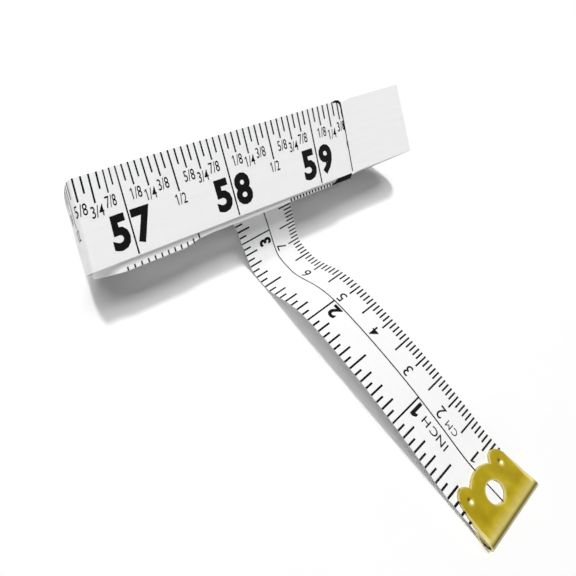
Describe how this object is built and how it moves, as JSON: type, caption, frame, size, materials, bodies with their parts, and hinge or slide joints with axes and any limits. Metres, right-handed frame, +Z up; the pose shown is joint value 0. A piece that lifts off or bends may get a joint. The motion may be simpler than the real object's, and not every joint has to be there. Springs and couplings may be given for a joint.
{
  "type": "cloth tape measure",
  "caption": "White coated-cloth tape measure, wound flat, with its zero end drawn out to one side and tipped with a scalloped brass end.",
  "frame": {"origin": "middle of the winding's underside, on the surface it lies on", "axes": "+Z up, X along the winding with the cut outer end towards +X, tail towards -Y"},
  "size_m": [0.1018, 0.1012, 0.0238],
  "materials": {
    "tape": "smooth coated cloth, satin",
    "brass": "pressed sheet, worn satin"
  },
  "bodies": {
    "winding": {"tape_winding": "tape"},
    "outer_end_a": {"outer_end_1": "tape"},
    "outer_end_b": {"outer_end_2": "tape"},
    "outer_end_c": {"outer_end_3": "tape"},
    "tail_a": {"tail_1": "tape"},
    "tail_b": {"tail_2": "tape"},
    "tail_c": {"tail_3": "tape"},
    "tail_d": {"tail_4": "tape"},
    "tail_e": {"tail_5": "tape"},
    "tail_f": {"tail_6": "tape", "brass_end": "brass"}
  },
  "joints": [
    {"name": "tail_bend_1", "type": "hinge", "parent": "winding", "child": "tail_a", "pos_m": [-0.00311, -0.01877, 0.00392], "axis": [-0.9952, -0.0958, -0.0187], "range_deg": [-30, 35], "stiffness_Nm_per_rad": 0.002},
    {"name": "tail_bend_2", "type": "hinge", "parent": "tail_a", "child": "tail_b", "pos_m": [-0.00202, -0.02872, 0.00034], "axis": [-0.994, -0.1091, 0], "range_deg": [-30, 35], "stiffness_Nm_per_rad": 0.002},
    {"name": "tail_bend_3", "type": "hinge", "parent": "tail_b", "child": "tail_c", "pos_m": [-0.0009, -0.03886, 0.00419], "axis": [-0.994, -0.1091, 0], "range_deg": [-30, 35], "stiffness_Nm_per_rad": 0.002},
    {"name": "tail_bend_4", "type": "hinge", "parent": "tail_c", "child": "tail_d", "pos_m": [0.0003, -0.04977, 0.00453], "axis": [-0.994, -0.1091, 0], "range_deg": [-30, 35], "stiffness_Nm_per_rad": 0.002},
    {"name": "tail_bend_5", "type": "hinge", "parent": "tail_d", "child": "tail_e", "pos_m": [0.00149, -0.06068, 0.00381], "axis": [-0.994, -0.1091, 0], "range_deg": [-30, 35], "stiffness_Nm_per_rad": 0.002},
    {"name": "tail_bend_6", "type": "hinge", "parent": "tail_e", "child": "tail_f", "pos_m": [0.00268, -0.07152, 0.00238], "axis": [-0.994, -0.1091, 0], "range_deg": [-30, 35], "stiffness_Nm_per_rad": 0.002},
    {"name": "outer_bend_1", "type": "hinge", "parent": "winding", "child": "outer_end_a", "pos_m": [-0.02635, -0.008, 0.01864], "axis": [-0.0051, -0.829, -0.5592], "range_deg": [0, 50], "stiffness_Nm_per_rad": 0.0005},
    {"name": "outer_bend_2", "type": "hinge", "parent": "outer_end_a", "child": "outer_end_b", "pos_m": [-0.0104, -0.008, 0.01864], "axis": [0, -0.829, -0.5592], "range_deg": [0, 50], "stiffness_Nm_per_rad": 0.0005},
    {"name": "outer_bend_3", "type": "hinge", "parent": "outer_end_b", "child": "outer_end_c", "pos_m": [0.0056, -0.008, 0.01864], "axis": [0, -0.829, -0.5592], "range_deg": [0, 50], "stiffness_Nm_per_rad": 0.0005}
  ]
}
